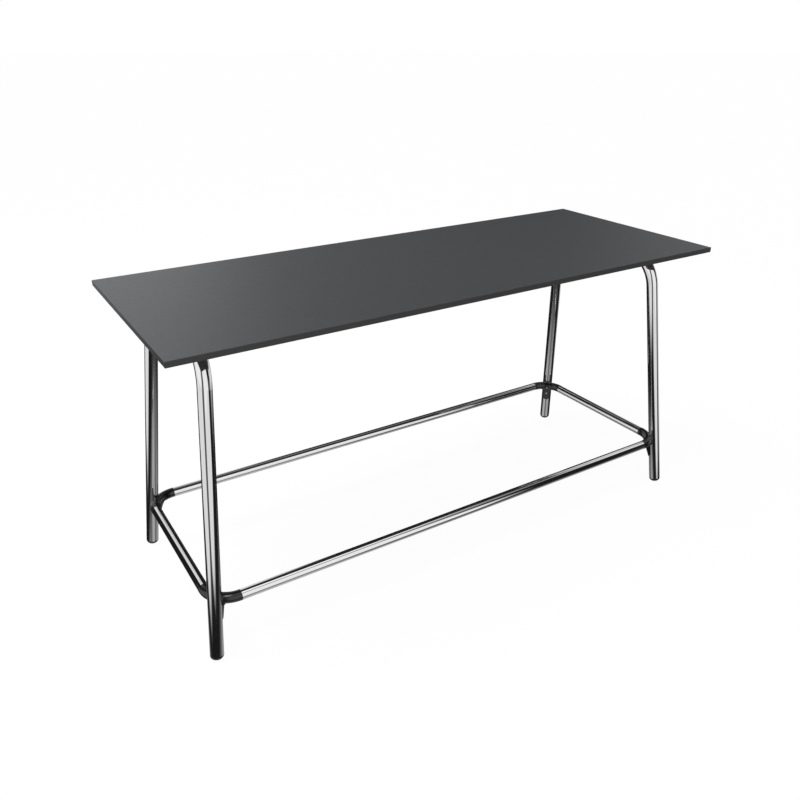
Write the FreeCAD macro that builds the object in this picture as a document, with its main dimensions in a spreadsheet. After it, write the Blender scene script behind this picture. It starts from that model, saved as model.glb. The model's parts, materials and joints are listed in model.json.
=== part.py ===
"""Standing meeting table: laminate top on two bent-tube end frames with a foot ring.

Frame: +X along the tabletop, +Y towards the rear, +Z up, origin on the floor under
the middle of the tabletop. Millimetres and degrees.
"""
import FreeCAD, Part
import math
import os
import Sketcher
from FreeCAD import Vector

# alias, value, what it measures
SIZE_TABLE = [
    ("top_length", 1800, "tabletop, left to right"),
    ("top_width", 700, "tabletop, front to rear"),
    ("table_height", 900, "floor to the top surface"),
    ("core_thickness", 14.4, "chipboard core"),
    ("laminate_thickness", 0.8, "decorative laminate on the top"),
    ("backing_thickness", 0.8, "balancing laminate underneath"),
    ("band_thickness", 2, "plastic edge band"),
    ("band_rounding", 1.2, "rounding of the edge band's outer edges"),
    ("leg_diameter", 38, "end frame tube, outside"),
    ("leg_wall", 2, "end frame tube wall"),
    ("foot_inset_length", 35.75, "tabletop's end to the leg axes at the floor"),
    ("foot_inset_width", 39.5, "tabletop's side to the leg axes at the floor"),
    ("splay", 6, "lean of each leg, seen from the front and from the side"),
    ("bend_radius", 114, "end frame bend, on the tube's centreline"),
    ("plate_length", 80, "mounting plate, left to right"),
    ("plate_width", 60, "mounting plate, front to rear"),
    ("plate_thickness", 3, "mounting plate"),
    ("plate_corner", 8, "mounting plate corner radius"),
    ("plate_span", 150, "middles of one frame's two plates"),
    ("plate_hole_pitch_x", 60, "plate screws, left to right"),
    ("plate_hole_pitch_y", 36, "plate screws, front to rear"),
    ("weld_leg", 8, "half width of the weld between plate and tube"),
    ("weld_gap", 0.05, "joint gap under the weld"),
    ("wood_screw_diameter", 4.5, "screws into the tabletop"),
    ("wood_screw_length", 14, "screws into the tabletop, below the head"),
    ("wood_screw_head", 9, "screws into the tabletop, head diameter"),
    ("wood_screw_head_height", 2.6, "screws into the tabletop, head height"),
    ("wood_screw_clearance", 0.5, "hole in steel, over the screw's diameter"),
    ("pilot_clearance", 0.1, "hole in the core, over the screw's diameter"),
    ("pilot_depth", 12.2, "pilot hole in the core"),
    ("stiffener_span", 300, "middles of the two stiffeners"),
    ("stiffener_end_gap", 10, "mounting plate to the stiffener's end"),
    ("stiffener_depth", 20, "stiffener, flange to crown"),
    ("stiffener_crown", 36, "stiffener, inside width of the channel"),
    ("stiffener_flange", 16, "stiffener flange width"),
    ("stiffener_sheet", 1.5, "stiffener sheet thickness"),
    ("stiffener_bend", 1.0, "stiffener, inside bend radius"),
    ("stiffener_hole_end", 40, "stiffener end to its first screw"),
    ("rail_height", 172, "floor to the foot rails' centreline"),
    ("rail_diameter", 30, "foot rail tube, outside"),
    ("rail_wall", 1.5, "foot rail tube wall"),
    ("ring_offset", 6.1, "foot ring centreline outside the leg axes, each way"),
    ("elbow_radius", 75, "connector bend, on the centreline"),
    ("elbow_straight", 3, "straight end of each connector arm"),
    ("elbow_lip", 0.25, "connector arm outside the rail, all round"),
    ("elbow_chamfer", 0.2, "outer edge of the shoulder that the rail meets"),
    ("spigot_length", 25, "connector spigot inside the rail"),
    ("spigot_clearance", 0.1, "spigot in the rail's bore, all round"),
    ("spigot_wall", 3, "spigot wall round its hollow"),
    ("spigot_chamfer", 1.5, "lead-in at the spigot's end"),
    ("saddle_clearance", 0.1, "connector saddle round the leg"),
    ("tongue_width", 26, "connector tongue on the leg"),
    ("tongue_drop", 69, "rail centreline to the tongue's tip, along the leg"),
    ("tongue_root", 16.5, "tongue thickness outside the leg, at the rail centreline"),
    ("tongue_tip", 1.6, "tongue thickness outside the leg, at its tip"),
    ("tongue_flare", 10, "radius between the tongue's sides and the elbow"),
    ("tongue_rounding", 1.2, "softened edges of the tongue's sloped face"),
    ("screw_pitch", 34, "connector's two screws, along the leg"),
    ("upper_seat", 32.5, "leg axis to the upper screw's seat"),
    ("lower_seat", 25.5, "leg axis to the lower screw's seat"),
    ("bolt_diameter", 6, "connector screw"),
    ("bolt_clearance", 0.4, "connector hole, over the screw's diameter"),
    ("bolt_head", 10.5, "connector screw's head diameter"),
    ("bolt_head_height", 3.3, "connector screw's head height"),
    ("bolt_crown", 6, "connector screw's flat crown, diameter"),
    ("bolt_recess_clearance", 1.2, "recess, over the head's diameter"),
    ("bolt_socket", 4, "hexagon socket, across flats"),
    ("bolt_socket_depth", 2, "hexagon socket depth"),
    ("bolt_tip", 7, "leg axis to the connector screw's tip"),
    ("nut_diameter", 9, "rivet nut body"),
    ("nut_clearance", 0.1, "rivet nut's hole, over its diameter"),
    ("nut_bore_clearance", 0.1, "rivet nut bore, over the screw's diameter"),
    ("nut_bulb", 12, "rivet nut, swelled ring inside the tube"),
    ("nut_bulb_height", 2.6, "rivet nut, height of the swelled ring"),
    ("nut_bulb_gap", 1.2, "tube's inner wall to the swelled ring"),
    ("nut_inner_end", 5.5, "leg axis to the rivet nut's inner end"),
    ("glide_rim", 1.5, "glide's straight wall under the tube's end"),
    ("glide_dome", 50, "radius of the glide's domed sole"),
    ("glide_rounding", 12, "rounding between the glide's wall and its sole"),
    ("glide_stem", 22, "glide stem inside the tube"),
    ("glide_stem_wall", 2, "glide stem wall"),
    ("glide_stem_clearance", 0.6, "stem between its ribs, to the tube"),
    ("glide_rib_clearance", 0.1, "stem ribs to the tube"),
    ("glide_rib_pitch", 6, "stem ribs"),
    ("glide_rib_height", 2, "stem ribs"),
]

STIFFENER_SCREWS = 5
GLIDE_RIBS = 3
CORNERS = {
    "front_left": (-1, -1),
    "front_right": (1, -1),
    "rear_left": (-1, 1),
    "rear_right": (1, 1),
}

doc = FreeCAD.newDocument("StandingMeetingTable")
nodes = []


# ---------------------------------------------------------------- sizes

class Size:
    """A number together with the sheet expression that gives it."""

    def __init__(self, value, text):
        self.value = value
        self.text = text

    def __add__(self, other):
        other = as_size(other)
        return Size(self.value + other.value, f"({self.text} + {other.text})")

    def __sub__(self, other):
        other = as_size(other)
        return Size(self.value - other.value, f"({self.text} - {other.text})")

    def __mul__(self, other):
        other = as_size(other)
        return Size(self.value * other.value, f"({self.text} * {other.text})")

    def __truediv__(self, other):
        other = as_size(other)
        return Size(self.value / other.value, f"({self.text} / {other.text})")

    def __neg__(self):
        return Size(-self.value, f"(0 - {self.text})")

    def __radd__(self, other):
        return as_size(other) + self

    def __rsub__(self, other):
        return as_size(other) - self

    def __rmul__(self, other):
        return as_size(other) * self

    def __rtruediv__(self, other):
        return as_size(other) / self


def as_size(item):
    return item if isinstance(item, Size) else Size(float(item), f"({item})")


def tan(angle):
    return Size(math.tan(math.radians(angle.value)), f"tan({angle.text})")


def sin(angle):
    return Size(math.sin(math.radians(angle.value)), f"sin({angle.text})")


def cos(angle):
    return Size(math.cos(math.radians(angle.value)), f"cos({angle.text})")


def atan(ratio):
    return Size(math.degrees(math.atan(ratio.value)), f"(atan({ratio.text}) / 1 deg)")


def root(square):
    return Size(math.sqrt(square.value), f"sqrt({square.text})")


def make_sheet():
    """Write the driving sizes to the sheet and give each one as a Size."""
    sheet = doc.addObject("Spreadsheet::Sheet", "Sizes")
    for row, (alias, value, meaning) in enumerate(SIZE_TABLE, 1):
        sheet.set(f"A{row}", alias)
        sheet.set(f"B{row}", str(value))
        sheet.set(f"C{row}", meaning)
        sheet.setAlias(f"B{row}", alias)
    doc.recompute()
    return {alias: Size(float(sheet.get(alias)), f"Sizes.{alias}") for alias, _, _ in SIZE_TABLE}


S = make_sheet()

HALF = as_size(0.5)
ROOT_HALF = root(HALF)
ROOT_TWO = root(as_size(2))

leg_r = S["leg_diameter"] / 2
leg_bore_r = leg_r - S["leg_wall"]
rail_r = S["rail_diameter"] / 2
elbow_r = rail_r + S["elbow_lip"]
spigot_r = rail_r - S["rail_wall"] - S["spigot_clearance"]

# Each leg leans by the splay in both directions; seen along the diagonal that adds up.
lean_tan = tan(S["splay"])
diagonal_tilt = atan(ROOT_TWO * lean_tan)

half_length = S["top_length"] / 2
half_width = S["top_width"] / 2
core_half_length = half_length - S["band_thickness"]
core_half_width = half_width - S["band_thickness"]
foot_half_length = half_length - S["foot_inset_length"]
foot_half_width = half_width - S["foot_inset_width"]
top_thickness = S["core_thickness"] + S["laminate_thickness"] + S["backing_thickness"]
top_underside = S["table_height"] - top_thickness
cross_height = top_underside - S["plate_thickness"] - leg_r
cross_x = foot_half_length - lean_tan * cross_height

# The glide's rounding touches the domed sole from inside and ends at the tube's width.
glide_turn = leg_r - S["glide_rounding"]
glide_inner = S["glide_dome"] - S["glide_rounding"]
glide_shoulder = S["glide_dome"] - root(glide_inner * glide_inner - glide_turn * glide_turn)
glide_height = S["glide_rim"] + glide_shoulder
leg_end_height = S["glide_dome"] - (S["glide_dome"] - glide_height) * cos(diagonal_tilt)

ring_half_length = foot_half_length - lean_tan * S["rail_height"] + S["ring_offset"]
ring_half_width = foot_half_width - lean_tan * S["rail_height"] + S["ring_offset"]
elbow_reach = S["elbow_radius"] + S["elbow_straight"]


# ---------------------------------------------------------------- helpers

def origin_feature(body, role):
    return next(item for item in body.Origin.OriginFeatures if item.Role == role)


def new_body(label):
    body = doc.addObject("PartDesign::Body", label)
    body.Label = label
    return body


def export(item):
    """Count a finished sub-part among the nodes."""
    nodes.append(item)
    return item


def new_sketch(body, name, plane, shift=None, pitch=None):
    """Sketch on an origin plane, moved by shift and turned by pitch in the plane's own axes."""
    sketch = body.newObject("Sketcher::SketchObject", name)
    sketch.AttachmentSupport = [(origin_feature(body, plane), "")]
    sketch.MapMode = "FlatFace"
    for axis, amount in (shift or {}).items():
        sketch.setExpression(f"AttachmentOffset.Base.{axis}", amount.text)
    if pitch is not None:
        sketch.setExpression("AttachmentOffset.Rotation.Pitch", pitch.text)
    return sketch


def constrain(sketch, kind, *where, size):
    index = sketch.addConstraint(Sketcher.Constraint(kind, *where, size.value))
    sketch.setExpression(f"Constraints[{index}]", size.text)


def hold(sketch, geometry, position, point):
    """Fix a point of the geometry at its place from the sketch's origin."""
    constrain(sketch, "DistanceX", -1, 1, geometry, position, size=as_size(point[0]))
    constrain(sketch, "DistanceY", -1, 1, geometry, position, size=as_size(point[1]))


def flat(point):
    return Vector(as_size(point[0]).value, as_size(point[1]).value, 0)


def arc_between(start, end, radius, counterclockwise):
    """The shorter arc of that radius from start to end."""
    chord = end - start
    left = Vector(-chord.y, chord.x, 0).normalize()
    to_centre = math.sqrt(max(radius ** 2 - (chord.Length / 2) ** 2, 0.0))
    side = left if counterclockwise else -left
    centre = (start + end) / 2 + side * to_centre
    return Part.Arc(start, centre - side * radius, end)


def draw(sketch, points, arcs=None, closed=True):
    """Lines and arcs through the points; arcs names the radius and sense of some sides."""
    arcs = arcs or {}
    first = sketch.GeometryCount
    sides = len(points) if closed else len(points) - 1
    ends = []
    for side in range(sides):
        start = points[side]
        end = points[(side + 1) % len(points)]
        if side in arcs:
            radius, sense = arcs[side]
            turn_left = sense == "left"
            sketch.addGeometry(arc_between(flat(start), flat(end), radius.value, turn_left), False)
            ends.append((1, 2) if turn_left else (2, 1))
        else:
            sketch.addGeometry(Part.LineSegment(flat(start), flat(end)), False)
            ends.append((1, 2))
    joints = sides if closed else sides - 1
    for side in range(joints):
        following = (side + 1) % sides
        sketch.addConstraint(Sketcher.Constraint(
            "Coincident", first + side, ends[side][1], first + following, ends[following][0]))
    for side in range(sides):
        hold(sketch, first + side, ends[side][0], points[side])
        if side in arcs:
            constrain(sketch, "Radius", first + side, size=arcs[side][0])
    if not closed:
        hold(sketch, first + sides - 1, ends[-1][1], points[-1])


def rectangle(sketch, low, high):
    draw(sketch, [low, (high[0], low[1]), high, (low[0], high[1])])


def circle(sketch, centre, diameter):
    radius = diameter.value / 2
    index = sketch.addGeometry(Part.Circle(flat(centre), Vector(0, 0, 1), radius), False)
    hold(sketch, index, 3, centre)
    constrain(sketch, "Diameter", index, size=diameter)


def pad(body, name, sketch, length, symmetric=False, backwards=False):
    feature = body.newObject("PartDesign::Pad", name)
    feature.Profile = sketch
    feature.setExpression("Length", length.text)
    feature.Midplane = symmetric
    feature.Reversed = backwards
    return feature


def pocket(body, name, sketch, length, symmetric=False, backwards=False):
    feature = body.newObject("PartDesign::Pocket", name)
    feature.Profile = sketch
    feature.setExpression("Length", length.text)
    feature.Midplane = symmetric
    feature.Reversed = backwards
    return feature


def revolve(body, name, sketch, axis="Z_Axis"):
    """Turn a half profile once round one of the body's own axes."""
    feature = body.newObject("PartDesign::Revolution", name)
    feature.Profile = sketch
    feature.ReferenceAxis = (origin_feature(body, axis), [""])
    feature.Angle = 360
    return feature


def mirror(body, name, originals, plane):
    feature = body.newObject("PartDesign::Mirrored", name)
    feature.Originals = originals
    feature.MirrorPlane = (origin_feature(body, plane), [""])
    body.Tip = feature
    return feature


def soften(body, name, base, radius, wanted, kind="PartDesign::Fillet"):
    """Fillet or chamfer the edges of the base feature that the test picks."""
    doc.recompute()
    edges = [f"Edge{n}" for n, edge in enumerate(base.Shape.Edges, 1) if wanted(edge)]
    feature = body.newObject(kind, name)
    feature.Base = (base, edges)
    feature.setExpression("Radius" if kind.endswith("Fillet") else "Size", radius.text)
    return feature


def place(item, point, yaw=None, pitch=None):
    """Put an object at a point, turned about Z by yaw and then about its own Y by pitch."""
    for axis, amount in zip("xyz", point):
        item.setExpression(f"Placement.Base.{axis}", as_size(amount).text)
    if yaw is not None:
        item.setExpression("Placement.Rotation.Yaw", as_size(yaw).text)
    if pitch is not None:
        item.setExpression("Placement.Rotation.Pitch", as_size(pitch).text)


def near(value, target):
    return abs(value - target) < 0.01


def group(label, members):
    """One node that holds several like solids."""
    compound = doc.addObject("Part::Compound", label)
    compound.Label = label
    compound.Links = members
    return compound


# ---------------------------------------------------------------- the legs' geometry

def outward_yaw(corner):
    """Direction from the middle of the table to a corner, along the diagonal."""
    side_x, side_y = corner
    return math.degrees(math.atan2(side_y, side_x))


def leg_point(corner, height):
    """Point on a leg's axis at a height above the floor."""
    side_x, side_y = corner
    return (
        side_x * (foot_half_length - lean_tan * height),
        side_y * (foot_half_width - lean_tan * height),
        height,
    )


def place_along_leg(item, corner, height):
    """Stand an object on a leg's axis: its Z runs up the leg, its X points outwards."""
    place(item, leg_point(corner, height), outward_yaw(corner), -diagonal_tilt)


def place_below_rail(item, corner, drop):
    """The same, on the leg's axis at a drop along the leg below the rails' height."""
    place_along_leg(item, corner, S["rail_height"] - drop * cos(diagonal_tilt))


# ---------------------------------------------------------------- tabletop

def plate_positions():
    """Middles of the four mounting plates."""
    return {
        name: (side_x * cross_x, side_y * S["plate_span"] / 2)
        for name, (side_x, side_y) in CORNERS.items()
    }


def plate_screw_offsets():
    return [
        (side_x * S["plate_hole_pitch_x"] / 2, side_y * S["plate_hole_pitch_y"] / 2)
        for side_x in (-1, 1) for side_y in (-1, 1)
    ]


stiffener_half_length = cross_x - S["plate_length"] / 2 - S["stiffener_end_gap"]
stiffener_web = S["stiffener_crown"] / 2 + S["stiffener_sheet"]
stiffener_half_width = S["stiffener_crown"] / 2 + S["stiffener_flange"]


def stiffener_screw_offsets():
    """Screw places on one stiffener, from its middle."""
    line = stiffener_web + (S["stiffener_flange"] - S["stiffener_sheet"]) / 2
    first = -(stiffener_half_length - S["stiffener_hole_end"])
    pitch = -2 * first / (STIFFENER_SCREWS - 1)
    return [
        (first + k * pitch, side * line) for side in (-1, 1) for k in range(STIFFENER_SCREWS)
    ]


def wood_screw_places():
    """All screws that go up into the tabletop: from plates and from stiffeners."""
    at_plates = [
        (x + dx, y + dy)
        for x, y in plate_positions().values() for dx, dy in plate_screw_offsets()
    ]
    at_stiffeners = [
        (dx, side * S["stiffener_span"] / 2 + dy)
        for side in (-1, 1) for dx, dy in stiffener_screw_offsets()
    ]
    return at_plates, at_stiffeners


def make_board(label, thickness, underside, hole_depth):
    """A rectangular sheet of the tabletop, with screw holes from below where it has any."""
    body = new_body(label)
    plan = new_sketch(body, label + "_plan", "XY_Plane")
    rectangle(plan, (-core_half_length, -core_half_width), (core_half_length, core_half_width))
    pad(body, label + "_sheet", plan, thickness)
    if hole_depth is not None:
        drilling = new_sketch(body, label + "_drilling", "XY_Plane")
        at_plates, at_stiffeners = wood_screw_places()
        for spot in at_plates + at_stiffeners:
            circle(drilling, spot, S["wood_screw_diameter"] + S["pilot_clearance"])
        pocket(body, label + "_holes", drilling, hole_depth, backwards=True)
    place(body, (0, 0, underside))
    return export(body)


def make_edge_band(label, low, high):
    """A plastic band on the board's edge, softened where it faces outwards."""
    body = new_body(label)
    plan = new_sketch(body, label + "_plan", "XY_Plane")
    rectangle(plan, low, high)
    strip = pad(body, label + "_strip", plan, top_thickness)

    def faces_out(edge):
        middle = edge.BoundBox.Center
        at_end = near(abs(middle.x), half_length.value)
        at_face = near(abs(middle.y), half_width.value)
        upright = near(edge.BoundBox.ZLength, top_thickness.value)
        if upright:
            return at_end and at_face
        return at_end or at_face

    soften(body, label + "_rounding", strip, S["band_rounding"], faces_out)
    place(body, (0, 0, top_underside))
    return export(body)


def make_tabletop():
    backing = S["backing_thickness"]
    make_board("tabletop_core", S["core_thickness"], top_underside + backing, S["pilot_depth"])
    make_board("tabletop_backing", backing, top_underside, backing)
    make_board("tabletop_laminate", S["laminate_thickness"],
               top_underside + backing + S["core_thickness"], None)
    make_edge_band("edge_band_front", (-half_length, -half_width), (half_length, -core_half_width))
    make_edge_band("edge_band_rear", (-half_length, core_half_width), (half_length, half_width))
    make_edge_band("edge_band_left", (-half_length, -core_half_width),
                   (-core_half_length, core_half_width))
    make_edge_band("edge_band_right", (core_half_length, -core_half_width),
                   (half_length, core_half_width))


# ---------------------------------------------------------------- end frames

def make_drill(label, corner):
    """The two round holes for rivet nuts in the inner wall of a leg."""
    body = new_body(label)
    holes = new_sketch(body, label + "_plan", "YZ_Plane")
    for drop in (as_size(0), S["screw_pitch"]):
        circle(holes, (0, -drop), S["nut_diameter"] + S["nut_clearance"])
    pad(body, label + "_cut", holes, S["leg_diameter"], backwards=True)
    place_along_leg(body, corner, S["rail_height"])
    return body


def make_end_frame(label, side_x):
    """One tube bent into a U, standing on its two ends, with holes for the rivet nuts."""
    tube = new_body(label + "_tube")
    # In the frame's own plane a leg leans by atan(sin(splay)) from upright.
    slope = sin(S["splay"])
    leg_cos = 1 / root(1 + slope * slope)
    leg_sin = slope * leg_cos
    corner_y = foot_half_width - lean_tan * cross_height
    tangent = S["bend_radius"] * (1 - leg_sin) / leg_cos
    drop = (cross_height - leg_end_height) / cos(S["splay"])
    spine = new_sketch(tube, label + "_spine", "YZ_Plane")
    draw(spine, [
        (0, 0),
        (corner_y - tangent, 0),
        (corner_y + tangent * leg_sin, -tangent * leg_cos),
        (corner_y + drop * slope, -drop),
    ], arcs={1: (S["bend_radius"], "right")}, closed=False)
    section = new_sketch(tube, label + "_section", "XZ_Plane")
    circle(section, (0, 0), S["leg_diameter"])
    circle(section, (0, 0), 2 * leg_bore_r)
    half_tube = tube.newObject("PartDesign::AdditivePipe", label + "_half")
    half_tube.Profile = section
    half_tube.Spine = (spine, ["Edge1", "Edge2", "Edge3"])
    mirror(tube, label + "_whole", [half_tube], "XZ_Plane")
    place(tube, (side_x * cross_x, 0, cross_height), pitch=-side_x * S["splay"])

    drills = []
    for name, corner in CORNERS.items():
        if corner[0] == side_x:
            drills.append(make_drill(f"drill_{name}", corner))
    frame = doc.addObject("Part::Cut", label)
    frame.Label = label
    frame.Base = tube
    frame.Tool = group(label + "_drills", drills)
    return export(frame)


# ---------------------------------------------------------------- plates and stiffeners

def make_mounting_plate(label, spot):
    """Flat plate that carries the tabletop, with its weld shaped to the tube below."""
    body = new_body(label)
    plan = new_sketch(body, label + "_plan", "XY_Plane")
    half_x = S["plate_length"] / 2
    half_y = S["plate_width"] / 2
    rectangle(plan, (-half_x, -half_y), (half_x, half_y))
    sheet = pad(body, label + "_sheet", plan, S["plate_thickness"])

    def upright(edge):
        return near(edge.BoundBox.ZLength, S["plate_thickness"].value)

    soften(body, label + "_corners", sheet, S["plate_corner"], upright)
    weld = S["weld_leg"]
    weld_depth = leg_r - root(leg_r * leg_r - weld * weld)
    bead = new_sketch(body, label + "_bead", "XZ_Plane")
    rectangle(bead, (-weld, -weld_depth), (weld, HALF * S["plate_thickness"]))
    pad(body, label + "_weld", bead, S["plate_width"] - 2 * S["plate_corner"], symmetric=True)
    hollow = new_sketch(body, label + "_hollow", "XZ_Plane")
    circle(hollow, (0, -(leg_r + S["weld_gap"])), 2 * (leg_r + S["weld_gap"]))
    pocket(body, label + "_saddle", hollow, S["plate_width"], symmetric=True)
    drilling = new_sketch(body, label + "_drilling", "XY_Plane")
    for offset in plate_screw_offsets():
        circle(drilling, offset, S["wood_screw_diameter"] + S["wood_screw_clearance"])
    pocket(body, label + "_holes", drilling, S["plate_thickness"], backwards=True)
    place(body, (spot[0], spot[1], top_underside - S["plate_thickness"]))
    return export(body)


def make_stiffener(label, side_y):
    """Folded hat-shaped rail, screwed under the board through its two flanges."""
    body = new_body(label)
    sheet = S["stiffener_sheet"]
    depth = S["stiffener_depth"]
    inner = S["stiffener_crown"] / 2
    outer = stiffener_web
    brim = stiffener_half_width
    half_profile = [
        (inner, -(depth - sheet)), (inner, 0), (brim, 0), (brim, -sheet),
        (outer, -sheet), (outer, -depth),
    ]
    other_half = [(-x, z) for x, z in reversed(half_profile)]
    section = new_sketch(body, label + "_section", "YZ_Plane")
    draw(section, half_profile + other_half)
    rail = pad(body, label + "_rail", section, 2 * stiffener_half_length, symmetric=True)

    def is_bend(edge, across, heights):
        middle = edge.BoundBox.Center
        lengthwise = near(edge.BoundBox.XLength, 2 * stiffener_half_length.value)
        in_line = near(abs(middle.y), across.value)
        return lengthwise and in_line and any(near(middle.z, -z.value) for z in heights)

    def inside_bend(edge):
        return is_bend(edge, inner, [depth - sheet]) or is_bend(edge, outer, [sheet])

    def outside_bend(edge):
        return is_bend(edge, inner, [as_size(0)]) or is_bend(edge, outer, [depth])

    tight = soften(body, label + "_inside_bends", rail, S["stiffener_bend"], inside_bend)
    soften(body, label + "_outside_bends", tight, S["stiffener_bend"] + sheet, outside_bend)
    drilling = new_sketch(body, label + "_drilling", "XY_Plane")
    for offset in stiffener_screw_offsets():
        circle(drilling, offset, S["wood_screw_diameter"] + S["wood_screw_clearance"])
    pocket(body, label + "_holes", drilling, sheet)
    place(body, (0, side_y * S["stiffener_span"] / 2, top_underside))
    return export(body)


# ---------------------------------------------------------------- foot ring

def make_corner_connector(label, corner):
    """Moulded elbow inside a leg: two spigots for the rails and a screwed tongue.

    Its own Z runs up the leg and its X points outwards along the table's diagonal.
    """
    body = new_body(label)
    radius = S["elbow_radius"]
    apex = ROOT_TWO * S["ring_offset"] - (ROOT_TWO - 1) * radius
    centre = apex - radius
    bend_end = (centre + radius * ROOT_HALF, radius * ROOT_HALF)

    def on_arm(along, off):
        """Point beside one arm: along it from the bend's end, off it towards the outside."""
        return (
            bend_end[0] + (off - along) * ROOT_HALF,
            bend_end[1] + (off + along) * ROOT_HALF,
        )

    spine = new_sketch(body, label + "_spine", "XY_Plane", pitch=diagonal_tilt)
    draw(spine, [(apex, 0), bend_end, on_arm(S["elbow_straight"], as_size(0))],
         arcs={0: (radius, "left")}, closed=False)
    section = new_sketch(body, label + "_section", "XZ_Plane")
    circle(section, (apex * cos(diagonal_tilt), -apex * sin(diagonal_tilt)), 2 * elbow_r)
    arm = body.newObject("PartDesign::AdditivePipe", label + "_arm")
    arm.Profile = section
    arm.Spine = (spine, ["Edge1", "Edge2"])

    # the hollow spigot is turned about the arm's own line
    root_at = S["elbow_straight"] - S["spigot_wall"]
    end_at = S["elbow_straight"] + S["spigot_length"]
    hollow_r = spigot_r - S["spigot_wall"]
    lead = S["spigot_chamfer"]
    wall = new_sketch(body, label + "_wall", "XY_Plane", pitch=diagonal_tilt)
    draw(wall, [
        on_arm(root_at, hollow_r), on_arm(end_at, hollow_r), on_arm(end_at, spigot_r - lead),
        on_arm(end_at - lead, spigot_r), on_arm(root_at, spigot_r),
    ])
    spigot = body.newObject("PartDesign::Revolution", label + "_spigot")
    spigot.Profile = wall
    spigot.ReferenceAxis = (spine, ["Edge2"])
    spigot.Angle = 360
    elbow = mirror(body, label + "_elbow", [arm, spigot], "XZ_Plane")

    def shoulder_rim(edge):
        at_arm_end = abs(edge.BoundBox.Center.y) > S["elbow_straight"].value
        return at_arm_end and near(edge.Length, 2 * math.pi * elbow_r.value)

    soften(body, label + "_rims", elbow, S["elbow_chamfer"], shoulder_rim, "PartDesign::Chamfer")

    # tongue: front outline with flared shoulders, then its face is sloped down to the tip
    half = S["tongue_width"] / 2
    flare = S["tongue_flare"]
    shoulder = -(elbow_r - flare / 2)
    root_face = leg_r + S["tongue_root"]
    outline = new_sketch(body, label + "_outline", "YZ_Plane", shift={"z": -root_face})
    tip = -S["tongue_drop"]
    draw(outline, [
        (half + flare, shoulder), (half + flare, 0), (-half - flare, 0), (-half - flare, shoulder),
        (-half, shoulder - flare), (-half, tip + half), (as_size(0), tip), (half, tip + half),
        (half, shoulder - flare),
    ], arcs={
        3: (flare, "right"),
        5: (half, "left"),
        6: (half, "left"),
        8: (flare, "right"),
    })
    pad(body, label + "_tongue", outline, S["tongue_root"] + HALF * leg_r)
    slope = new_sketch(body, label + "_slope", "XZ_Plane")
    tip_face = leg_r + S["tongue_tip"]
    draw(slope, [(-root_face, 0), (-tip_face, tip), (-root_face, tip)])
    face = pocket(body, label + "_face", slope, 2 * (S["tongue_width"] + flare), symmetric=True)
    fall = (root_face - tip_face).value / S["tongue_drop"].value

    def sloped_rim(edge):
        low_enough = edge.BoundBox.ZMax < (shoulder - flare).value + 0.01
        return low_enough and all(
            near(point.X + root_face.value + point.Z * fall, 0) for point in edge.Vertexes)

    soften(body, label + "_soft_face", face, S["tongue_rounding"], sloped_rim)

    # saddle, screw holes and the recesses for their heads
    around = new_sketch(body, label + "_around", "XY_Plane")
    circle(around, (0, 0), 2 * (leg_r + S["saddle_clearance"]))
    pocket(body, label + "_saddle", around, 4 * S["tongue_drop"], symmetric=True)
    holes = new_sketch(body, label + "_holes_plan", "YZ_Plane")
    hole = S["bolt_diameter"] + S["bolt_clearance"]
    circle(holes, (0, 0), hole)
    circle(holes, (0, -S["screw_pitch"]), hole)
    pocket(body, label + "_holes", holes, 2 * root_face)
    for name, drop, seat in (
        ("upper", as_size(0), S["upper_seat"]), ("lower", S["screw_pitch"], S["lower_seat"]),
    ):
        rim = new_sketch(body, f"{label}_{name}_rim", "YZ_Plane", shift={"z": -seat})
        circle(rim, (0, -drop), S["bolt_head"] + S["bolt_recess_clearance"])
        pocket(body, f"{label}_{name}_recess", rim, root_face)
    place_along_leg(body, corner, S["rail_height"])
    return export(body)


def make_rail(label, half_length, spot, yaw):
    """A straight tube whose ends meet the shoulders of two connectors."""
    body = new_body(label)
    section = new_sketch(body, label + "_section", "YZ_Plane")
    circle(section, (0, 0), S["rail_diameter"])
    circle(section, (0, 0), S["rail_diameter"] - 2 * S["rail_wall"])
    pad(body, label + "_tube", section, 2 * half_length, symmetric=True)
    place(body, (spot[0], spot[1], S["rail_height"]), yaw=yaw)
    return export(body)


def make_foot_ring():
    for name, corner in CORNERS.items():
        make_corner_connector("corner_connector_" + name, corner)
    for name, side in (("front", -1), ("rear", 1)):
        spot = (0, side * ring_half_width)
        make_rail("foot_rail_" + name, ring_half_length - elbow_reach, spot, 0)
    for name, side in (("left", -1), ("right", 1)):
        spot = (side * ring_half_length, 0)
        make_rail("foot_rail_" + name, ring_half_width - elbow_reach, spot, 90)


# ---------------------------------------------------------------- glides

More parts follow.
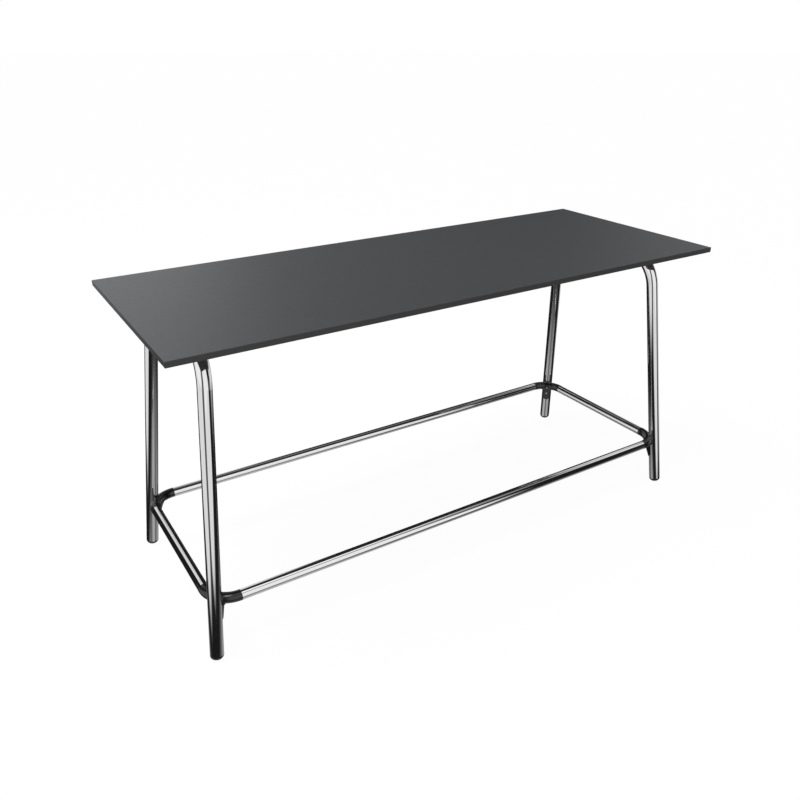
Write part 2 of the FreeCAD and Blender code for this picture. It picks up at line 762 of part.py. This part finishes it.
def make_glide(label, corner):
    """Plastic foot with a domed sole and a ribbed hollow stem that grips inside the tube."""
    body = new_body(label)
    stem_r = leg_bore_r - S["glide_stem_clearance"]
    rib_r = leg_bore_r - S["glide_rib_clearance"]
    cup_r = stem_r - S["glide_stem_wall"]
    rim = S["glide_rim"]
    dome = S["glide_dome"]
    dome_middle = dome - glide_height
    scale = dome / glide_inner
    sole_edge = (glide_turn * scale, dome_middle - (rim + dome_middle) * scale)
    cup_bottom = -HALF * glide_height
    points = [(as_size(0), -glide_height), sole_edge, (leg_r, -rim), (leg_r, 0), (stem_r, 0)]
    for rib in range(1, GLIDE_RIBS + 1):
        foot = rib * S["glide_rib_pitch"] - S["glide_rib_height"]
        points += [(stem_r, foot), (rib_r, foot), (stem_r, foot + S["glide_rib_height"])]
    points += [
        (stem_r, S["glide_stem"]), (cup_r, S["glide_stem"]),
        (cup_r, cup_bottom), (0, cup_bottom),
    ]
    section = new_sketch(body, label + "_section", "XZ_Plane")
    draw(section, points, arcs={0: (dome, "left"), 1: (S["glide_rounding"], "left")})
    revolve(body, label + "_turned", section)
    place_along_leg(body, corner, leg_end_height)
    return export(body)


# ---------------------------------------------------------------- fasteners

def make_connector_screw(label, corner, drop, seat):
    """Button-head screw with a hexagon socket, square to the leg, its head to the inside."""
    body = new_body(label)
    shank = S["bolt_diameter"] / 2
    head = S["bolt_head"] / 2
    height = S["bolt_head_height"]
    crown = (head * head / height + height) / 2
    flat_top = S["bolt_crown"] / 2
    face = seat + root(crown * crown - flat_top * flat_top) - (crown - height)
    section = new_sketch(body, label + "_section", "XZ_Plane")
    draw(section, [
        (-S["bolt_tip"], 0), (-S["bolt_tip"], shank), (-seat, shank),
        (-seat, head), (-face, flat_top), (-face, 0),
    ], arcs={3: (crown, "left")})
    revolve(body, label + "_turned", section, "X_Axis")
    key = new_sketch(body, label + "_key", "YZ_Plane", shift={"z": -face})
    corner_r = S["bolt_socket"] / root(as_size(3))
    draw(key, [
        (corner_r * math.cos(math.radians(60 * k)), corner_r * math.sin(math.radians(60 * k)))
        for k in range(6)
    ])
    pocket(body, label + "_socket", key, S["bolt_socket_depth"], backwards=True)
    place_below_rail(body, corner, drop)
    return body


def make_rivet_nut(label, corner, drop):
    """Threaded sleeve set in the leg's wall, swelled behind it."""
    body = new_body(label)
    bore = (S["bolt_diameter"] + S["nut_bore_clearance"]) / 2
    sleeve = S["nut_diameter"] / 2
    bulb = S["nut_bulb"] / 2
    bulb_top = leg_bore_r - S["nut_bulb_gap"]
    outer_end = root(leg_r * leg_r - sleeve * sleeve)
    section = new_sketch(body, label + "_section", "XZ_Plane")
    draw(section, [
        (-S["nut_inner_end"], bore), (-S["nut_inner_end"], sleeve),
        (S["nut_bulb_height"] - bulb_top, sleeve), (S["nut_bulb_height"] / 2 - bulb_top, bulb),
        (-bulb_top, sleeve), (-outer_end, sleeve), (-outer_end, bore),
    ])
    revolve(body, label + "_turned", section, "X_Axis")
    place_below_rail(body, corner, drop)
    return body


def make_wood_screw(label, spot, seat_height):
    """Pan-head screw that goes up into the tabletop; its seat is at the head's upper face."""
    body = new_body(label)
    shank = S["wood_screw_diameter"] / 2
    head = S["wood_screw_head"] / 2
    length = S["wood_screw_length"]
    section = new_sketch(body, label + "_section", "XZ_Plane")
    draw(section, [
        (0, -S["wood_screw_head_height"]), (head / 2, -S["wood_screw_head_height"]), (head, 0),
        (shank, 0), (shank, length - 2 * shank), (0, length),
    ])
    revolve(body, label + "_turned", section)
    place(body, (spot[0], spot[1], seat_height))
    return body


def make_fasteners():
    bolts = []
    nuts = []
    for name, corner in CORNERS.items():
        for level, drop, seat in (
            ("upper", as_size(0), S["upper_seat"]), ("lower", S["screw_pitch"], S["lower_seat"]),
        ):
            bolts.append(make_connector_screw(f"screw_{name}_{level}", corner, drop, seat))
            nuts.append(make_rivet_nut(f"nut_{name}_{level}", corner, drop))
    export(group("connector_screws", bolts))
    export(group("leg_rivet_nuts", nuts))

    at_plates, at_stiffeners = wood_screw_places()
    plate_seat = top_underside - S["plate_thickness"]
    rail_seat = top_underside - S["stiffener_sheet"]
    export(group("plate_screws", [
        make_wood_screw(f"plate_screw_{n}", spot, plate_seat) for n, spot in enumerate(at_plates)
    ]))
    export(group("stiffener_screws", [
        make_wood_screw(f"stiffener_screw_{n}", spot, rail_seat)
        for n, spot in enumerate(at_stiffeners)
    ]))


# ---------------------------------------------------------------- the whole table

def write_steps():
    """Check every object, then write one file for each node."""
    doc.recompute()
    broken = [o.Name for o in doc.Objects if {"Invalid", "Error"} & set(o.State)]
    if broken:
        raise RuntimeError("failed objects: " + ", ".join(broken))
    for node in nodes:
        if node.Shape.isNull() or not node.Shape.isValid():
            raise RuntimeError("bad shape: " + node.Label)
    os.makedirs("parts", exist_ok=True)
    for node in nodes:
        node.Shape.exportStep(f"parts/{node.Label}.step")


make_tabletop()
make_end_frame("end_frame_left", -1)
make_end_frame("end_frame_right", 1)
for name, spot in plate_positions().items():
    make_mounting_plate("mounting_plate_" + name, spot)
make_stiffener("stiffener_front", -1)
make_stiffener("stiffener_rear", 1)
make_foot_ring()
for name, corner in CORNERS.items():
    make_glide("glide_" + name, corner)
make_fasteners()
write_steps()
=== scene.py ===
import json
import math

import bmesh
import bpy
from mathutils import Matrix, Vector


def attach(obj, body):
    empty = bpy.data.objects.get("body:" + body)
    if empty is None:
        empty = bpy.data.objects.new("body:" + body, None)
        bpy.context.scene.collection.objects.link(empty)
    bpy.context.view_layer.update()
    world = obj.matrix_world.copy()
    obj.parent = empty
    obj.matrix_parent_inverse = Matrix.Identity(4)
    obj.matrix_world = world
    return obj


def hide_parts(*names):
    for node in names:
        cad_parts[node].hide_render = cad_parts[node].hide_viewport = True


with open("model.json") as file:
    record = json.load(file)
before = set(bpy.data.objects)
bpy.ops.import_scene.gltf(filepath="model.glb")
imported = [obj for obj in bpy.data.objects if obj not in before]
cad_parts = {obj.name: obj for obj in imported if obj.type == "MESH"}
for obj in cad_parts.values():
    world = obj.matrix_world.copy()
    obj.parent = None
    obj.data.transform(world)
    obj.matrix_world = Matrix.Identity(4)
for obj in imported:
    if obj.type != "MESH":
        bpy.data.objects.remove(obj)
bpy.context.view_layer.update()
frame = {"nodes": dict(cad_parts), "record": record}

# The table's looks: a material for every CAD node, threaded wood screws in place of the plain
# ones, and the photo's studio and camera. Lengths are in metres and angles in degrees.

# The camera stands off the table's left front corner and looks down on it.
CAMERA_PLACE = (-1.27416, -1.90756, 1.54957)
CAMERA_DOWN = 25.98
CAMERA_AZIMUTH = -32.0
# in pixels of the photo
FOCAL_LENGTH = 766.69
PHOTO_WIDTH = 800

# The studio as the polished tubes see it: a room with bright walls and dark corners.
# Azimuth 0 is behind the table (+Y) and grows towards its left (-X). A wall's elevations are
# those of its edges at its middle, over the horizon.
# name: (middle azimuth, half width, lowest and highest elevation, brightness, softness)
WALLS = {
    "rear": (2, 20, -18, 45, 0.80, 7),
    "left_low": (83, 41, -27, 14, 0.80, 5),
    "left_high": (90, 37, 5, 66, 0.86, 8),
    "left_glow": (94, 32, -6, 66, 0.96, 9),
    "left_front_corner": (134, 12, -22, 50, 0.10, 8),
    "front": (181, 33.2, -25, 49, 0.79, 4),
    "front_glow": (183, 31, -14, 46, 0.93, 5),
    "right_low": (-80, 31, -23, 8, 0.75, 12),
    "right_strip": (-56, 7, -4, 38, 0.42, 7),
    "right_middle": (-92, 24, 0, 40, 0.12, 12),
    "right_high": (-88, 33, 37, 51, 0.80, 8),
    "right_front_corner": (-121, 14, -17, 0, 0.12, 6),
}
# The same for what is overhead and on the floor, whose edges keep one elevation all along.
OVER_AND_UNDER = {
    "ceiling": (-45, 72, 49, 100, 0.18, 8),
    "ceiling_front": (-170, 56, 43, 100, 0.29, 8),
    "ceiling_light": (-129, 38, 58, 100, 1.15, 13),
    "lamp": (124, 27, 58, 83, 5.5, 8),
    "floor": (0, 200, -100, -35, 0.15, 8),
    "floor_rear": (0, 20, -60, -36, 0.36, 8),
    "floor_left": (87, 30, -60, -36, 0.46, 9),
    "floor_front": (184, 28, -60, -36, 0.40, 9),
    "floor_right": (-82, 30, -60, -38, 0.34, 9),
    "floor_centre": (-60, 200, -100, -56, 0.58, 24),
}
DARK_ROOM = 0.012
HALF_TURN = 180

# One more lamp lights the top, and hangs where its light falls off to the right and the front.
LAMP_PLACE = (-1.3, 0.8, 3.1)
LAMP_LENGTH = 2.4
LAMP_WIDTH = 1.6
LAMP_WATTS = 55

FLOOR_RADIUS = 60.0
FLOOR_SIDES = 96
FLOOR_GLOW = 0.951

# The wood screws under the top: pan heads with a cross recess, on the CAD screws' diameter,
# length and head. A screw's own heights are over its seat, where the head meets the steel, so
# they are negative in the head.
CREST_RADIUS = 0.00225
ROOT_RADIUS = 0.0016
THREAD_PITCH = 0.0018
# half a ridge's width, in pitches
RIDGE_SHARE = 0.25
SCREW_LENGTH = 0.014
POINT_LENGTH = 0.0045
# the tip's radius, as a share of the shank's
TIP_SHARE = 0.04
HEAD_RADIUS = 0.0045
HEAD_HEIGHT = 0.0026
RIM_HEIGHT = 0.0009
CROWN_RADIUS = 0.0024
SCREW_SIDES = 20
DOME_STEPS = 5
THREAD_STEPS = 32
# half the recess's span and half an arm's width, at the crown and at the recess's floor
RECESS_MOUTH = (0.0022, 0.0006)
RECESS_FLOOR = (0.0012, 0.0004)
RECESS_DEPTH = 0.0016
CUTTER_OVERHANG = RECESS_DEPTH / 4
# a plain screw's corners this close to the lowest one are on its crown
CROWN_SLACK = HEAD_HEIGHT / 10
# Each screw is turned this much further than the last one, so that no two stand alike.
GOLDEN_ANGLE = 137.5
SHARP_ANGLE = 32

# the part of the noise's 0 to 1 that is spread over a range of roughness
NOISE_RANGE = (0.25, 0.75)
# plated steel's dullest spots, against its brightest
DULL_SHARE = 0.86
WHITE = (1, 1, 1, 1)
# the mix node's sockets for colours, whose names its other sockets share
MIX_FACTOR = 0
MIX_DARK = 6
MIX_LIGHT = 7
MIX_RESULT = 2


# ---------------------------------------------------------------- shader helpers

def add(tree, kind, **settings):
    """A shader node with its properties set and its inputs given by name or number."""
    node = tree.nodes.new(kind)
    inputs = settings.pop("inputs", {})
    for name, value in settings.items():
        setattr(node, name, value)
    for name, value in inputs.items():
        socket = node.inputs[name]
        if isinstance(value, bpy.types.NodeSocket):
            tree.links.new(value, socket)
        else:
            socket.default_value = value
    return node


def calculate(tree, operation, *values):
    """A math node's result. Its values are numbers or other nodes' outputs."""
    return add(tree, "ShaderNodeMath", operation=operation,
               inputs=dict(enumerate(values))).outputs[0]


def new_material(name, **surface):
    """A material with one principled shader and its fixed inputs."""
    material = bpy.data.materials.new(name)
    material.use_nodes = True
    shader = material.node_tree.nodes["Principled BSDF"]
    for socket, value in surface.items():
        shader.inputs[socket.replace("_", " ")].default_value = value
    return material, material.node_tree, shader


def place_of(tree):
    """Coordinates on the object."""
    return add(tree, "ShaderNodeTexCoord").outputs["Object"]


def noise(tree, scale, detail=2.0, stretch=(1, 1, 1)):
    """Noise with about that many features to a metre, drawn out along axes of low stretch."""
    mapping = add(tree, "ShaderNodeMapping", inputs={"Vector": place_of(tree), "Scale": stretch})
    texture = add(tree, "ShaderNodeTexNoise", inputs={
        "Vector": mapping.outputs[0], "Scale": scale, "Detail": detail})
    return texture.outputs[0]


def cells(tree, scale):
    """Distance from the nearest cell's middle, with about that many cells to a metre."""
    return add(tree, "ShaderNodeTexVoronoi", inputs={
        "Vector": place_of(tree), "Scale": scale}).outputs["Distance"]


def tint(tree, shader, amount, dark, light):
    """Colour the surface from dark to light as an amount goes from 0 to 1."""
    mix = add(tree, "ShaderNodeMix", data_type="RGBA", inputs={
        MIX_FACTOR: amount, MIX_DARK: (*dark, 1), MIX_LIGHT: (*light, 1)})
    tree.links.new(mix.outputs[MIX_RESULT], shader.inputs["Base Color"])


def roughen(tree, shader, amount, smoothest, roughest):
    """Spread noise over a range of roughness."""
    spread = add(tree, "ShaderNodeMapRange", inputs={
        "Value": amount, "From Min": NOISE_RANGE[0], "From Max": NOISE_RANGE[1],
        "To Min": smoothest, "To Max": roughest})
    tree.links.new(spread.outputs[0], shader.inputs["Roughness"])


def relief(tree, shader, height, depth):
    """Bump of that depth."""
    bump = add(tree, "ShaderNodeBump", inputs={"Height": height, "Distance": depth})
    tree.links.new(bump.outputs[0], shader.inputs["Normal"])


# ---------------------------------------------------------------- materials

def laminate(name, dark, light, smoothest, roughest):
    """Satin laminate: a faint pearl in the colour and a very fine grain."""
    material, tree, shader = new_material(name, Specular_IOR_Level=0.41)
    tint(tree, shader, noise(tree, scale=14, detail=3), dark, light)
    roughen(tree, shader, noise(tree, scale=60, detail=4), smoothest, roughest)
    relief(tree, shader, noise(tree, scale=2600, detail=3), depth=0.00002)
    return material


def edge_plastic():
    """Extruded edge band, with faint lines along its length."""
    material, tree, shader = new_material("edge_plastic", Specular_IOR_Level=0.45)
    tint(tree, shader, noise(tree, scale=20),
         dark=(0.052, 0.053, 0.055), light=(0.060, 0.061, 0.064))
    roughen(tree, shader, noise(tree, scale=90, detail=3), smoothest=0.38, roughest=0.46)
    relief(tree, shader, noise(tree, scale=900, stretch=(0.02, 0.02, 1)), depth=0.00003)
    return material


def board_core():
    """Pressed chips in warm browns."""
    material, tree, shader = new_material("board_core")
    chips = cells(tree, scale=420)
    tint(tree, shader, chips, dark=(0.30, 0.20, 0.11), light=(0.62, 0.47, 0.30))
    roughen(tree, shader, noise(tree, scale=300, detail=3), smoothest=0.75, roughest=0.9)
    relief(tree, shader, chips, depth=0.0002)
    return material


def chrome():
    """Polished plate: almost a mirror, with a trace of waviness and polishing haze."""
    material, tree, shader = new_material(
        "chrome_tube", Metallic=1.0, Base_Color=(0.862, 0.862, 0.862, 1))
    roughen(tree, shader, noise(tree, scale=40, detail=4), smoothest=0.03, roughest=0.065)
    relief(tree, shader, noise(tree, scale=9), depth=0.00004)
    return material


def moulded_plastic():
    """Black moulding with an even fine grain."""
    material, tree, shader = new_material("black_plastic", Specular_IOR_Level=0.7)
    tint(tree, shader, noise(tree, scale=120),
         dark=(0.005, 0.005, 0.005), light=(0.008, 0.008, 0.008))
    roughen(tree, shader, noise(tree, scale=400), smoothest=0.21, roughest=0.28)
    relief(tree, shader, cells(tree, scale=1500), depth=0.00003)
    return material


def plated_steel(name, grey, smoothest, roughest, stretch):
    """Plated steel with a fine grain, which a stretch draws out into brushing."""
    material, tree, shader = new_material(name, Metallic=1.0)
    dull = DULL_SHARE * grey
    tint(tree, shader, noise(tree, scale=70, detail=3), dark=(dull,) * 3, light=(grey,) * 3)
    roughen(tree, shader, noise(tree, scale=220, detail=3), smoothest, roughest)
    relief(tree, shader, noise(tree, scale=800, stretch=stretch), depth=0.00003)
    return material


def powder_coat():
    """Black powder coat with orange peel."""
    material, tree, shader = new_material("black_steel", Specular_IOR_Level=0.5)
    tint(tree, shader, noise(tree, scale=50),
         dark=(0.018, 0.018, 0.019), light=(0.027, 0.027, 0.028))
    roughen(tree, shader, noise(tree, scale=150), smoothest=0.42, roughest=0.52)
    relief(tree, shader, noise(tree, scale=900), depth=0.00012)
    return material


MATERIALS = {
    "top_laminate": laminate(
        "top_laminate", dark=(0.061, 0.063, 0.066), light=(0.066, 0.068, 0.071),
        smoothest=0.39, roughest=0.45),
    "backing_laminate": laminate(
        "backing_laminate", dark=(0.050, 0.050, 0.050), light=(0.060, 0.060, 0.060),
        smoothest=0.52, roughest=0.58),
    "edge_plastic": edge_plastic(),
    "board_core": board_core(),
    "chrome_tube": chrome(),
    "black_plastic": moulded_plastic(),
    "plate_steel": plated_steel(
        "plate_steel", grey=0.66, smoothest=0.20, roughest=0.32, stretch=(0.05, 1, 1)),
    "black_steel": powder_coat(),
    "zinc_steel": plated_steel(
        "zinc_steel", grey=0.95, smoothest=0.42, roughest=0.54, stretch=(1, 1, 1)),
}

for part in frame["record"]["subparts"]:
    for mesh_slot in frame["nodes"][part["node"]].material_slots:
        mesh_slot.material = MATERIALS[part["material_slot"]]


# ---------------------------------------------------------------- wood screws

def thread_radius(height, turn):
    """Radius of the threaded shank at a height, and at an angle given in turns."""
    off_crest = (height / THREAD_PITCH - turn) % 1 - 0.5
    ridge = max(0.0, 1 - abs(off_crest) / RIDGE_SHARE)
    taper = min(1.0, TIP_SHARE + (SCREW_LENGTH - height) / POINT_LENGTH)
    return (ROOT_RADIUS + (CREST_RADIUS - ROOT_RADIUS) * ridge) * taper


def level_ring(height, radii):
    """Points round the screw's axis at one height, at a radius for each side."""
    points = []
    for side, radius in enumerate(radii):
        angle = math.tau * side / SCREW_SIDES
        points.append((radius * math.cos(angle), radius * math.sin(angle), height))
    return points


def screw_rings():
    """The rings of the screw's outline, from its crown up to its tip."""
    rings = []
    for step in range(DOME_STEPS + 1):
        angle = math.pi / 2 * step / DOME_STEPS
        radius = CROWN_RADIUS + (HEAD_RADIUS - CROWN_RADIUS) * math.sin(angle)
        rise = (HEAD_HEIGHT - RIM_HEIGHT) * (1 - math.cos(angle))
        rings.append(level_ring(rise - HEAD_HEIGHT, [radius] * SCREW_SIDES))
    rings.append(level_ring(0.0, [HEAD_RADIUS] * SCREW_SIDES))
    for step in range(THREAD_STEPS + 1):
        height = SCREW_LENGTH * step / THREAD_STEPS
        radii = [thread_radius(height, side / SCREW_SIDES) for side in range(SCREW_SIDES)]
        rings.append(level_ring(height, radii))
    return rings


def cross_ring(span, arm, height):
    """The outline of a cross, from half its span and half an arm's width."""
    arm_end = [(span, -arm), (span, arm), (arm, arm)]
    quarter_turns = [(1, 0), (0, 1), (-1, 0), (0, -1)]
    return [(x * cosine - y * sine, x * sine + y * cosine, height)
            for cosine, sine in quarter_turns for x, y in arm_end]


def recess_rings():
    """The rings of the recess's cutter, which starts just outside the crown."""
    crown = -HEAD_HEIGHT
    return [cross_ring(*RECESS_MOUTH, crown - CUTTER_OVERHANG),
            cross_ring(*RECESS_MOUTH, crown),
            cross_ring(*RECESS_FLOOR, crown + RECESS_DEPTH)]


def skin(rings):
    """A closed mesh through rings of points, from the lowest to the highest."""
    form = bmesh.new()
    loops = [[form.verts.new(point) for point in ring] for ring in rings]
    for low, high in zip(loops, loops[1:]):
        for side in range(len(low)):
            form.faces.new((low[side - 1], low[side], high[side], high[side - 1]))
    form.faces.new(reversed(loops[0]))
    form.faces.new(loops[-1])
    mesh = bpy.data.meshes.new("form")
    form.to_mesh(mesh)
    form.free()
    return mesh


def screw_mesh():
    """One threaded screw with its recess cut."""
    screw = bpy.data.objects.new("screw", skin(screw_rings()))
    cutter = bpy.data.objects.new("cutter", skin(recess_rings()))
    for item in (screw, cutter):
        bpy.context.scene.collection.objects.link(item)
    cut = screw.modifiers.new("recess", "BOOLEAN")
    cut.operation = "DIFFERENCE"
    cut.object = cutter
    cut.solver = "EXACT"
    shape = screw.evaluated_get(bpy.context.evaluated_depsgraph_get())
    mesh = bpy.data.meshes.new_from_object(shape)
    for item in (screw, cutter):
        bpy.data.objects.remove(item)
    return mesh


def middle(points):
    """The middle of the box around some points."""
    low = Vector(map(min, zip(*points)))
    high = Vector(map(max, zip(*points)))
    return (low + high) / 2


def crowns(node):
    """The middle of each screw's crown in a node of plain screws, which point up."""
    corners = [vertex.co for vertex in frame["nodes"][node].data.vertices]
    lowest = min(corner.z for corner in corners)
    groups = []
    for corner in corners:
        if corner.z < lowest + CROWN_SLACK:
            near = [group for group in groups if (group[0] - corner).length < 2 * HEAD_RADIUS]
            if near:
                near[0].append(corner)
            else:
                groups.append([corner])
    return [middle(group) for group in groups]


def make_wood_screws(node, slot):
    """Threaded screws in the places of a node's plain ones."""
    form = bmesh.new()
    template = screw_mesh()
    for number, crown in enumerate(sorted(crowns(node), key=lambda place: (place.x, place.y))):
        first = len(form.verts)
        form.from_mesh(template)
        form.verts.ensure_lookup_table()
        turn = Matrix.Rotation(math.radians(number * GOLDEN_ANGLE), 4, "Z")
        seat = Matrix.Translation(crown + Vector((0, 0, HEAD_HEIGHT)))
        bmesh.ops.transform(form, matrix=seat @ turn, verts=form.verts[first:])
    mesh = bpy.data.meshes.new(node + "_threaded")
    form.to_mesh(mesh)
    form.free()
    mesh.shade_smooth()
    mesh.set_sharp_from_angle(angle=math.radians(SHARP_ANGLE))
    mesh.materials.clear()
    mesh.materials.append(MATERIALS[slot])
    piece = bpy.data.objects.new(node + "_threaded", mesh)
    bpy.context.scene.collection.objects.link(piece)
    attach(piece, "root")
    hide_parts(node)


make_wood_screws("plate_screws", "zinc_steel")
make_wood_screws("stiffener_screws", "zinc_steel")


# ---------------------------------------------------------------- studio

def soft_step(tree, value, edge, softness, rising=True):
    """0 to 1 across an edge, softly, or 1 to 0 where it isn't rising."""
    below, above = (0.0, 1.0) if rising else (1.0, 0.0)
    step = add(tree, "ShaderNodeMapRange", interpolation_type="SMOOTHSTEP", inputs={
        "Value": value, "From Min": edge - softness / 2, "From Max": edge + softness / 2,
        "To Min": below, "To Max": above})
    return step.outputs[0]


def angle_of(tree, operation, *values):
    """An inverse function's result in degrees."""
    return calculate(tree, "DEGREES", calculate(tree, operation, *values))


def sight(tree):
    """Where a ray goes: its azimuth and elevation, and its level and upward parts."""
    direction = add(tree, "ShaderNodeTexCoord").outputs["Generated"]
    x, y, z = add(tree, "ShaderNodeSeparateXYZ", inputs={0: direction}).outputs
    azimuth = angle_of(tree, "ARCTAN2", calculate(tree, "MULTIPLY", x, -1.0), y)
    elevation = angle_of(tree, "ARCSINE", z)
    level = calculate(tree, "SQRT", calculate(
        tree, "ADD", calculate(tree, "MULTIPLY", x, x), calculate(tree, "MULTIPLY", y, y)))
    return azimuth, elevation, level, z


def wall_height(tree, level, upward, turned):
    """Where a ray meets a flat wall: the elevation of that height at the wall's middle."""
    ahead = calculate(tree, "MULTIPLY", level, calculate(
        tree, "COSINE", calculate(tree, "RADIANS", turned)))
    return angle_of(tree, "ARCTAN2", upward, ahead)


def panel_glow(tree, ray, panel, flat):
    """A panel's light where a ray goes. A flat panel is a wall."""
    azimuth, elevation, level, upward = ray
    towards, half, bottom, top, brightness, softness = panel
    turned = calculate(tree, "WRAP", calculate(tree, "SUBTRACT", azimuth, towards),
                       HALF_TURN, -HALF_TURN)
    height = wall_height(tree, level, upward, turned) if flat else elevation
    aside = calculate(tree, "ABSOLUTE", turned)
    across = soft_step(tree, aside, half, softness, rising=False)
    along = calculate(tree, "MULTIPLY", soft_step(tree, height, bottom, softness),
                      soft_step(tree, height, top, softness, rising=False))
    return calculate(tree, "MULTIPLY", calculate(tree, "MULTIPLY", across, along), brightness)


def make_world():
    """White behind everything for the camera; the panels of the studio for all the rest."""
    world = bpy.data.worlds.new("studio")
    bpy.context.scene.world = world
    world.use_nodes = True
    tree = world.node_tree
    tree.nodes.clear()
    ray = sight(tree)
    room = DARK_ROOM
    for panels, flat in ((WALLS, True), (OVER_AND_UNDER, False)):
        for panel in panels.values():
            room = calculate(tree, "MAXIMUM", room, panel_glow(tree, ray, panel, flat))

    seen_plainly = add(tree, "ShaderNodeLightPath").outputs["Is Camera Ray"]
    studio = add(tree, "ShaderNodeBackground", inputs={"Color": WHITE, "Strength": room})
    white = add(tree, "ShaderNodeBackground", inputs={"Color": WHITE, "Strength": 1.0})
    shown = add(tree, "ShaderNodeMixShader", inputs={
        0: seen_plainly, 1: studio.outputs[0], 2: white.outputs[0]})
    add(tree, "ShaderNodeOutputWorld", inputs={"Surface": shown.outputs[0]})


def make_floor():
    """A wide pale floor that takes a faint shadow and stays out of the reflections."""
    mesh = bpy.data.meshes.new("studio_floor")
    form = bmesh.new()
    bmesh.ops.create_circle(form, cap_ends=True, segments=FLOOR_SIDES, radius=FLOOR_RADIUS)
    form.to_mesh(mesh)
    form.free()
    floor = bpy.data.objects.new("studio_floor", mesh)
    bpy.context.scene.collection.objects.link(floor)
    material, tree, shader = new_material(
        "studio_floor", Roughness=1.0, Specular_IOR_Level=0.0,
        Emission_Color=WHITE, Emission_Strength=FLOOR_GLOW)
    tint(tree, shader, noise(tree, scale=2),
         dark=(0.060, 0.060, 0.060), light=(0.065, 0.065, 0.065))
    mesh.materials.append(material)
    floor.visible_glossy = False
    floor.visible_diffuse = False


def make_lamp():
    """A large soft lamp above the top's left end, kept out of the reflections."""
    lamp = bpy.data.lights.new("overhead", "AREA")
    lamp.shape = "RECTANGLE"
    lamp.size = LAMP_LENGTH
    lamp.size_y = LAMP_WIDTH
    lamp.energy = LAMP_WATTS
    holder = bpy.data.objects.new("overhead", lamp)
    holder.location = LAMP_PLACE
    holder.visible_glossy = False
    bpy.context.scene.collection.objects.link(holder)


def make_camera():
    """The photo's camera, as fitted to the table's edges in it."""
    data = bpy.data.cameras.new("camera")
    data.lens = data.sensor_width * (FOCAL_LENGTH / PHOTO_WIDTH)
    camera = bpy.data.objects.new("camera", data)
    camera.location = CAMERA_PLACE
    camera.rotation_euler = (math.radians(90 - CAMERA_DOWN), 0, math.radians(CAMERA_AZIMUTH))
    bpy.context.scene.collection.objects.link(camera)
    bpy.context.scene.camera = camera


make_world()
make_floor()
make_lamp()
make_camera()
bpy.context.scene.view_settings.view_transform = "Standard"
